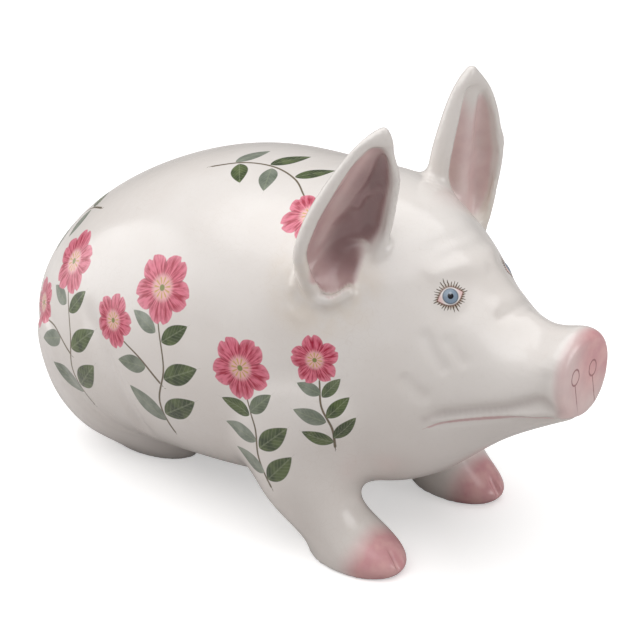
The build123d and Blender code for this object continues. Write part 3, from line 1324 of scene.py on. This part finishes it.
@dataclass(frozen=True)
class Glaze:
    """Milky lead glaze over painted earthenware.

    Attributes:
        slot: Material slot of the record that it stands for.
        base: Colour of the bare glaze.
        shade: Colour where the glaze lies thin.
        layers: Painted layers under the glaze.
    """

    slot: str
    base: Colour = (0.80, 0.765, 0.735)
    shade: Colour = (0.72, 0.67, 0.63)
    layers: tuple[Paint, ...] = (Paint.FLOWERS,)

    def build(self) -> bpy.types.Material:
        """Makes the material.

        Returns:
            The material.
        """
        material = bpy.data.materials.new(self.slot)
        graph = Graph(material)
        colour = self.ground(graph)
        if Paint.FLOWERS in self.layers:
            colour = self.leaves(graph, self.stems(graph, colour))
            colour = self.blooms(graph, colour)
        if Paint.FACE in self.layers:
            colour = self.nostrils(graph, self.eyes(graph, self.lips(graph, colour)))
        crackle = self.crackle(graph)
        ripple = graph.noise(38.0, 2.0) + 0.35 * graph.noise(160.0, 1.0)
        bump = graph.node(
            "ShaderNodeBump", {}, {"Strength": 0.16, "Distance": 0.0016, "Height": ripple - 0.06 * crackle}, "Normal"
        )
        values = {
            "Base Color": graph.mix(0.10 * crackle, colour, (0.55, 0.45, 0.38, 1.0)),
            "Roughness": 0.15 + 0.12 * graph.noise(24.0, 3.0) + 0.05 * crackle,
            "IOR": 1.52,
            "Coat Weight": 0.2,
            "Coat Roughness": 0.2,
            "Normal": bump,
        }
        graph.finish(graph.node("ShaderNodeBsdfPrincipled", {}, values))
        return material

    def ground(self, graph: Graph) -> Wire:
        """Bare glaze: mottled white, with blush and warm yellow-brown tints where they were brushed on, and a dark
        rose-brown layer: the trotters' own deeper colour, partly painted shade in the ear cups, and painted shade in
        the crease above the lips.
        """
        mottle = graph.noise(14.0, 4.0).step(0.36, 0.68)
        white = graph.mix(0.55 * mottle, (*self.base, 1.0), (*self.shade, 1.0))
        grain = graph.noise(420.0, 2.0).step(0.55, 0.8)
        white = graph.mix(0.10 * grain, white, (0.62, 0.56, 0.50, 1.0))
        warm = graph.tint("warm") * graph.noise(60.0, 3.0).step(0.25, 0.65)
        white = graph.mix(0.5 * warm, white, (0.66, 0.50, 0.30, 1.0))
        brushed = graph.tint("blush") * (0.55 + 0.75 * graph.noise(48.0, 4.0))
        pink = graph.mix(graph.noise(90.0, 3.0).step(0.3, 0.7), (0.78, 0.40, 0.40, 1.0), (0.66, 0.27, 0.30, 1.0))
        white = graph.mix(brushed.clamped() * 0.85, white, pink)
        # Dark rose-brown layer: deeper trotter colour, painted shade in the crease above the lips, and in the ear
        # cups partly painted shade.
        return graph.mix(graph.tint("mauve_and_painted_shade") * 0.8, white, (0.19, 0.095, 0.10, 1.0))

    def crackle(self, graph: Graph) -> Wire:
        """Fine net of cracks in the glaze, 1 on a crack."""
        warp = graph.node("ShaderNodeTexNoise", {}, {"Vector": graph.place(), "Scale": 90.0}, "Color")
        bent = graph.node(
            "ShaderNodeVectorMath",
            {"operation": "MULTIPLY_ADD"},
            {0: warp, 1: (0.004, 0.004, 0.004), 2: graph.place()},
        )
        edge = graph.node(
            "ShaderNodeTexVoronoi", {"feature": "DISTANCE_TO_EDGE"}, {"Vector": bent, "Scale": 170.0}, "Distance"
        )
        return edge.step(0.035, 0.0) * graph.noise(18.0, 2.0).step(0.42, 0.62)

    def stems(self, graph: Graph, colour: Wire) -> Wire:
        """Thin dark stems, thicker towards the foot."""
        off, along, on = graph.painted("stem")
        half = 0.85 - 0.35 * along
        line = (half - abs(off)).step(-0.25, 0.25) * on
        brown = graph.mix(graph.noise(300.0), (0.10, 0.085, 0.05, 1.0), (0.20, 0.15, 0.10, 1.0))
        return graph.mix(line, colour, brown)

    def leaves(self, graph: Graph, colour: Wire) -> Wire:
        """Lance-shaped leaves with a pale midrib, some dark and some thin and grey."""
        across, along, tone = graph.painted("leaf")
        along = along + 0.5
        on = tone.step(0.4, 0.6)
        tone = tone - 1.0
        profile = (along.clamped() ** 0.8 * math.pi).math("SINE").math("MAXIMUM", 0.0) ** 0.85 * 0.235
        inside = (profile - abs(across)).step(-0.008, 0.012) * on
        veins = ((along * 46.0 - abs(across) * 60.0).math("SINE")).step(0.55, 1.0) * 0.35
        midrib = (0.016 - abs(across)).step(-0.006, 0.008) * 0.55
        cloud, veil = (graph.noise(scale, 3.0).step(0.3, 0.7) for scale in (130.0, 110.0))
        dark = graph.mix(cloud, (0.035, 0.055, 0.022, 1.0), (0.11, 0.15, 0.055, 1.0))
        thin = graph.mix(veil, (0.16, 0.19, 0.15, 1.0), (0.28, 0.31, 0.26, 1.0))
        green = graph.mix(tone.step(0.45, 0.75), dark, thin)
        green = graph.mix((veins + midrib).clamped() * 0.5, green, (0.36, 0.40, 0.26, 1.0))
        return graph.mix(inside, colour, green)

    def blooms(self, graph: Graph, colour: Wire) -> Wire:
        """Open blossoms: five notched petals, streaked from a pale eye to a crimson edge."""
        x, y, tone = graph.painted("bloom")
        on = tone.step(0.4, 0.6)
        turn = (tone - 1.0) * 6.0
        radius = (x * x + y * y).math("SQRT")
        angle = y.math("ARCTAN2", x) + turn
        petal = abs((angle * 2.5).math("COSINE"))
        notch = 1.0 - 0.10 * (1.0 - abs((angle * 2.5).math("SINE")).step(0.0, 0.28))
        edge = (0.70 + 0.30 * petal ** 0.6) * notch
        ragged = edge + 0.05 * (graph.noise(260.0, 2.0) - 0.5)
        inside = (ragged - radius).step(-0.012, 0.02) * on
        streak = graph.node(
            "ShaderNodeTexNoise",
            {"noise_dimensions": "2D"},
            {"Vector": self.polar(graph, angle, radius), "Scale": 1.0, "Detail": 3.0},
            "Fac",
        )
        depth = (radius / edge).clamped()
        rose = graph.mix(streak.step(0.32, 0.66), (0.38, 0.014, 0.045, 1.0), (0.72, 0.17, 0.25, 1.0))
        rose = graph.mix(depth.step(0.75, 1.0) * 0.55, rose, (0.80, 0.30, 0.38, 1.0))
        gap = (0.10 - petal).step(-0.06, 0.08) * depth.step(0.25, 0.5)
        rose = graph.mix(gap * 0.75, rose, (0.30, 0.012, 0.035, 1.0))
        rose = graph.mix((0.34 - radius).step(-0.12, 0.10) * 0.7, rose, (0.90, 0.62, 0.58, 1.0))
        dots = (0.10 - abs(radius - 0.20)).step(-0.03, 0.04) * ((angle * 11.0).math("SINE")).step(0.1, 0.7)
        rose = graph.mix(dots * 0.85, rose, (0.55, 0.34, 0.06, 1.0))
        rose = graph.mix((0.09 - radius).step(-0.02, 0.02), rose, (0.22, 0.24, 0.06, 1.0))
        return graph.mix(inside, colour, rose)

    def polar(self, graph: Graph, angle: Wire, radius: Wire) -> Wire:
        """Place in a blossom for streaks that run outward."""
        return graph.node("ShaderNodeCombineXYZ", {}, {"X": angle * 9.0, "Y": radius * 2.2, "Z": 0.0})

    def lips(self, graph: Graph, colour: Wire) -> Wire:
        """Thin pink line between the lips."""
        off, along, on = graph.painted("lip")
        half = 0.4 + 0.9 * (along * (1.0 - along) * 4.0)
        line = (half - abs(off)).step(-0.7, 0.5) * on * (0.5 + 0.6 * graph.noise(120.0)).clamped()
        return graph.mix(line * 0.8, colour, (0.56, 0.27, 0.29, 1.0))

    def eyes(self, graph: Graph, colour: Wire) -> Wire:
        """Painted eyes: lashes, lids, pink corners, blue-grey iris, a dark pupil and a painted highlight dot in it.
        """
        u, v, on = graph.painted("eye")
        half_length, half_height = 8.2, 5.6
        lid = half_height * (1.0 - (u / half_length) * (u / half_length))
        gap = (abs(v) - lid).math("MAXIMUM", abs(u) - half_length)
        angle = (v * 1.2).math("ARCTAN2", u)
        fan = ((angle * 31.0 + 4.0 * graph.noise(420.0)).math("SINE") + 1.0) * 0.5
        length = 4.0 + 1.1 * (angle * 8.0 + 1.0).math("SINE") + 0.8 * v.step(-1.0, 3.0)
        taper = (gap / length).clamped()
        lash = (fan - 0.40 - 0.55 * taper).step(-0.10, 0.16) * gap.step(-0.3, 0.3)
        lash = lash * (length - gap).step(-0.3, 0.6) * on
        halo = gap.step(3.6, 0.2) * on
        colour = graph.mix(halo * halo * 0.7, colour, (0.30, 0.20, 0.12, 1.0))
        colour = graph.mix(lash * 0.92, colour, (0.07, 0.04, 0.018, 1.0))
        inside = gap.step(0.35, -0.25) * on
        corner = abs(u).step(3.8, 6.8)
        ball = graph.mix(corner * 0.55, (0.80, 0.78, 0.77, 1.0), (0.78, 0.40, 0.38, 1.0))
        colour = graph.mix(inside, colour, ball)
        radius = (u * u + v * v).math("SQRT")
        spoke = ((angle * 24.0).math("SINE") + 1.0) * 0.5
        darker = spoke * 0.35 + radius.step(2.0, 4.6) * 0.3
        iris = graph.mix(darker, (0.27, 0.35, 0.44, 1.0), (0.16, 0.22, 0.30, 1.0))
        colour = graph.mix(inside * radius.step(4.7, 4.3), colour, iris)
        ring = (0.35 - abs(radius - 4.5)).step(-0.2, 0.2)
        colour = graph.mix(inside * ring * 0.7, colour, (0.07, 0.09, 0.13, 1.0))
        colour = graph.mix(inside * radius.step(2.0, 1.6), colour, (0.008, 0.008, 0.012, 1.0))
        # Painted highlight: a small pale blue-grey catch-light dot in the pupil.
        pupil_highlight = ((u - 0.5) * (u - 0.5) + (v - 1.7) * (v - 1.7)).math("SQRT")
        colour = graph.mix(inside * pupil_highlight.step(0.95, 0.6) * 0.8, colour, (0.42, 0.48, 0.55, 1.0))
        rim = (0.45 - abs(gap)).step(-0.3, 0.3) * on
        return graph.mix(rim * 0.8, colour, (0.16, 0.07, 0.045, 1.0))

    def nostrils(self, graph: Graph, colour: Wire) -> Wire:
        """Two thin ovals on the snout disc with a line running down from each."""
        split = graph.make("ShaderNodeSeparateXYZ", {}, {"Vector": graph.place()})
        x, y, z = (Wire(graph, socket) * 1000.0 for socket in split.outputs)
        wobble = 1.2 * (graph.noise(140.0) - 0.5)
        side = abs(y + 3.0) - 9.0 + wobble
        up = z - 150.5
        oval = ((side / 3.8) * (side / 3.8) + (up / 4.9) * (up / 4.9)).math("SQRT")
        line = (0.10 - abs(oval - 1.0)).step(-0.09, 0.06)
        leaning = abs(y + 3.0 + 0.25 * (up + 4.0)) - 9.0 + wobble
        run = (0.36 - abs(leaning)).step(-0.3, 0.25) * up.step(-4.4, -5.2) * (up + 0.6 * y).step(-32.0, -18.0)
        mark = (line + run).clamped() * x.step(212.0, 216.0)
        return graph.mix(mark * 0.8, colour, (0.26, 0.075, 0.085, 1.0))


GLAZES = (
    Glaze("body_glaze"),
    Glaze("head_glaze", layers=(Paint.FLOWERS, Paint.FACE)),
    Glaze("ear_glaze"),
    Glaze("leg_glaze"),
    Glaze("tail_glaze", layers=()),
)
SLOTS = {
    "body_shell": "body_glaze",
    "head_shell": "head_glaze",
    "right_ear": "ear_glaze",
    "left_ear": "ear_glaze",
    "right_foreleg": "leg_glaze",
    "left_foreleg": "leg_glaze",
    "right_hind_leg": "leg_glaze",
    "left_hind_leg": "leg_glaze",
    "tail": "tail_glaze",
}


class Pig:
    """The whole figure: shapes the clay, cuts the skin into pieces and glazes them."""

    VOXEL = 1.5

    def __init__(self) -> None:
        """Lists the parts of the figure."""
        self.trunk = Trunk()
        self.face = Face()
        self.haunch = Haunch()
        self.bouquet = Bouquet()
        self.ears = (
            Ear(
                "right_ear",
                7.0,
                tip_cut=9.5,
                lobe=((97.5, -66.0, 186.5), (92.5, -70.5, 182.0), (86.5, -75.0, 181.5), (83.5, -80.5, 188.0)),
                scoop=((93.0, -64.0, 218.0), (88.5, -69.0, 203.0), (92.0, -73.0, 191.5)),
                scoop_radii=(11.0, 10.0, 7.5),
            ),
            Ear(
                "left_ear",
                9.0,
                side=Side.LEFT,
                forward=13.0,
                inward=16.0,
                rise=129.0,
                facing=-16.0,
                roll=5.0,
                roll_place=-0.74,
                roll_share=0.2,
                thin_rim=1.7,
                thin_share=0.02,
                floor_fill=6.0,
                blush=0.5,
                mauve_and_painted_shade=(0.0, 0.0),
            ),
        )
        self.forelegs = (Foreleg("right_foreleg", 18.0), Foreleg("left_foreleg", 18.0, toe=(118.0, 62.0, 6.0)))
        self.limbs = (
            Member("right_hind_leg", 12.0),
            Member("left_hind_leg", 12.0),
            Member("tail", 4.0),
        )

    def build(self) -> None:
        """Builds, paints and dresses every piece."""
        low, high = (np.array(corner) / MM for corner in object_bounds())
        clay = Clay(low - 12, high + 12, self.VOXEL)
        fields = {"trunk": self.trunk.build(clay)}
        clay.distance = fields["trunk"].copy()
        for member in self.ears + self.forelegs + self.limbs:
            fields[member.node] = member.build(clay)
            LOG.info("%s joined", member.node)
        self.haunch.build(clay)
        self.face.build(clay)
        skin = Skin(*clay.mesh(clay.distance))
        skin.relax(3, low + 0.02, high - 0.02)
        names = self.share_out(clay, skin, fields)
        skin.find_outward()
        self.paint(clay, skin, fields)
        glazes = {glaze.slot: glaze.build() for glaze in GLAZES}
        anchors = [ear.anchor() for ear in self.ears]
        for index, name in enumerate(names):
            piece = skin.piece(f"{name}_skin", index, clay, anchors)
            piece.data.materials.append(glazes[SLOTS[name]])
            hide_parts(name)
            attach(piece, ROOT)

    def share_out(self, clay: Clay, skin: Skin, fields: dict[str, Array]) -> list[str]:
        """Gives each quad of the skin to the piece that it belongs to.

        Args:
            clay: Block that holds the whole figure.
            skin: Skin to share out.
            fields: Signed distances of the trunk and of each member alone.

        Returns:
            Names of the pieces in the order of the owners.
        """
        centres = skin.centres()
        reader = clay.blank()
        gaps = []
        for values in fields.values():
            reader.distance = values
            gaps.append(reader.sample(centres))
        for place, ear in enumerate(self.ears, start=1):
            gaps[place] = np.minimum(gaps[place], ear.plug(centres))
        nearest = np.argmin(gaps, axis=0)
        owner = np.where(nearest > 0, nearest + 1, self.trunk.in_head(centres).astype(int))
        names = [self.trunk.body, self.trunk.head] + list(fields)[1:]
        skin.settle_owners(owner, len(names))
        return names

    def paint(self, clay: Clay, skin: Skin, fields: dict[str, Array]) -> None:
        """Brushes the stains, the face and the flowers on to the skin.

        Args:
            clay: Block that holds the whole figure.
            skin: Skin to paint.
            fields: Signed distances of the trunk and of each member alone.
        """
        self.face.dress(clay, skin)
        for foreleg in self.forelegs:
            foreleg.dress(skin)
        own = clay.blank()
        for ear in self.ears:
            own.distance = fields[ear.node]
            ear.dress(skin, own)
        self.bouquet.paint(clay, skin)


@dataclass
class Camera:
    """Camera at the photograph's angle."""

    azimuth: float = 41.0
    elevation: float = 23.7
    distance: float = 1085.0
    target: Point = (12.9, 6.5, 120.3)
    lens: float = 92.6

    def build(self) -> None:
        """Places the camera and makes it the scene's own."""
        turn, lift = math.radians(self.azimuth), math.radians(self.elevation)
        back = Vector((math.sin(turn) * math.cos(lift), -math.cos(turn) * math.cos(lift), math.sin(lift)))
        data = bpy.data.cameras.new("camera")
        data.lens = self.lens
        data.sensor_width = 36.0
        data.clip_start = 0.05
        data.clip_end = 50.0
        camera = bpy.data.objects.new("camera", data)
        camera.location = (Vector(self.target) + back * self.distance) * MM
        camera.rotation_euler = back.to_track_quat("Z", "Y").to_euler()
        bpy.context.scene.collection.objects.link(camera)
        bpy.context.scene.camera = camera


@dataclass(frozen=True)
class Lamp:
    """Soft box, by place, size and power."""

    name: str
    place: Point
    size: float
    power: float
    aim: Point = (0.0, 0.0, 0.12)

    def build(self) -> None:
        """Hangs the lamp and turns it to the figure."""
        data = bpy.data.lights.new(self.name, "AREA")
        data.shape = "DISK"
        data.size = self.size
        data.energy = self.power
        lamp = bpy.data.objects.new(self.name, data)
        lamp.location = self.place
        lamp.rotation_euler = (Vector(self.place) - Vector(self.aim)).to_track_quat("Z", "Y").to_euler()
        bpy.context.scene.collection.objects.link(lamp)


@dataclass
class Studio:
    """Pale floor, soft light and a white surround."""

    floor_size: float = 12.0
    floor_lift: float = 0.42
    ambient: float = 0.2
    lamps: tuple[Lamp, ...] = (
        Lamp("key", (-0.1, -0.5, 2.4), 4.0, 76.0),
        Lamp("fill", (-2.2, -1.2, 0.45), 2.4, 24.0),
        Lamp("front", (2.2, 0.6, 0.7), 1.4, 12.0),
    )

    def build(self) -> None:
        """Lays the floor and sets the lights."""
        half = self.floor_size / 2
        mesh = bpy.data.meshes.new("floor")
        corners = [(-half, -half, 0), (half, -half, 0), (half, half, 0), (-half, half, 0)]
        mesh.from_pydata(corners, [], [(0, 1, 2, 3)])
        mesh.materials.append(self.paper())
        floor = bpy.data.objects.new("floor", mesh)
        floor.location.z = -0.0004
        bpy.context.scene.collection.objects.link(floor)
        floor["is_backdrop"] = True
        for lamp in self.lamps:
            lamp.build()
        bpy.context.scene.world = self.surround()
        bpy.context.scene.view_settings.view_transform = "Standard"

    def paper(self) -> bpy.types.Material:
        """Floor finish, lifted to white where the camera sees it, with its shadow.

        Returns:
            The material.
        """
        material = bpy.data.materials.new("floor_white")
        graph = Graph(material)
        bounce = graph.node("ShaderNodeBsdfDiffuse", {}, {"Color": (0.6, 0.58, 0.57, 1.0)})
        paper = graph.node("ShaderNodeBsdfDiffuse", {}, {"Color": (0.9, 0.9, 0.9, 1.0)})
        lift = graph.node("ShaderNodeEmission", {}, {"Strength": self.floor_lift})
        white = graph.node("ShaderNodeAddShader", {}, {0: paper, 1: lift})
        graph.finish(graph.node("ShaderNodeMixShader", {}, {0: self.seen(graph), 1: bounce, 2: white}))
        return material

    def surround(self) -> bpy.types.World:
        """Dim light from all round, white where the camera sees it.

        Returns:
            The world.
        """
        world = bpy.data.worlds.new("surround")
        graph = Graph(world)
        dim = graph.node("ShaderNodeBackground", {}, {"Color": (1.0, 0.955, 0.94, 1.0), "Strength": self.ambient})
        white = graph.node("ShaderNodeBackground", {}, {"Color": (1.0, 1.0, 1.0, 1.0), "Strength": 1.0})
        graph.finish(graph.node("ShaderNodeMixShader", {}, {0: self.seen(graph), 1: dim, 2: white}))
        return world

    def seen(self, graph: Graph) -> Wire:
        """1 for rays from the camera."""
        return graph.node("ShaderNodeLightPath", {}, {}, "Is Camera Ray")


def main() -> None:
    """Builds the pig, paints it and sets the stage."""
    logging.basicConfig(level=logging.INFO, format="%(name)s %(message)s")
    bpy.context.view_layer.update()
    pig = Pig()
    pig.build()
    Camera().build()
    Studio().build()


if __name__ == "__main__":
    main()
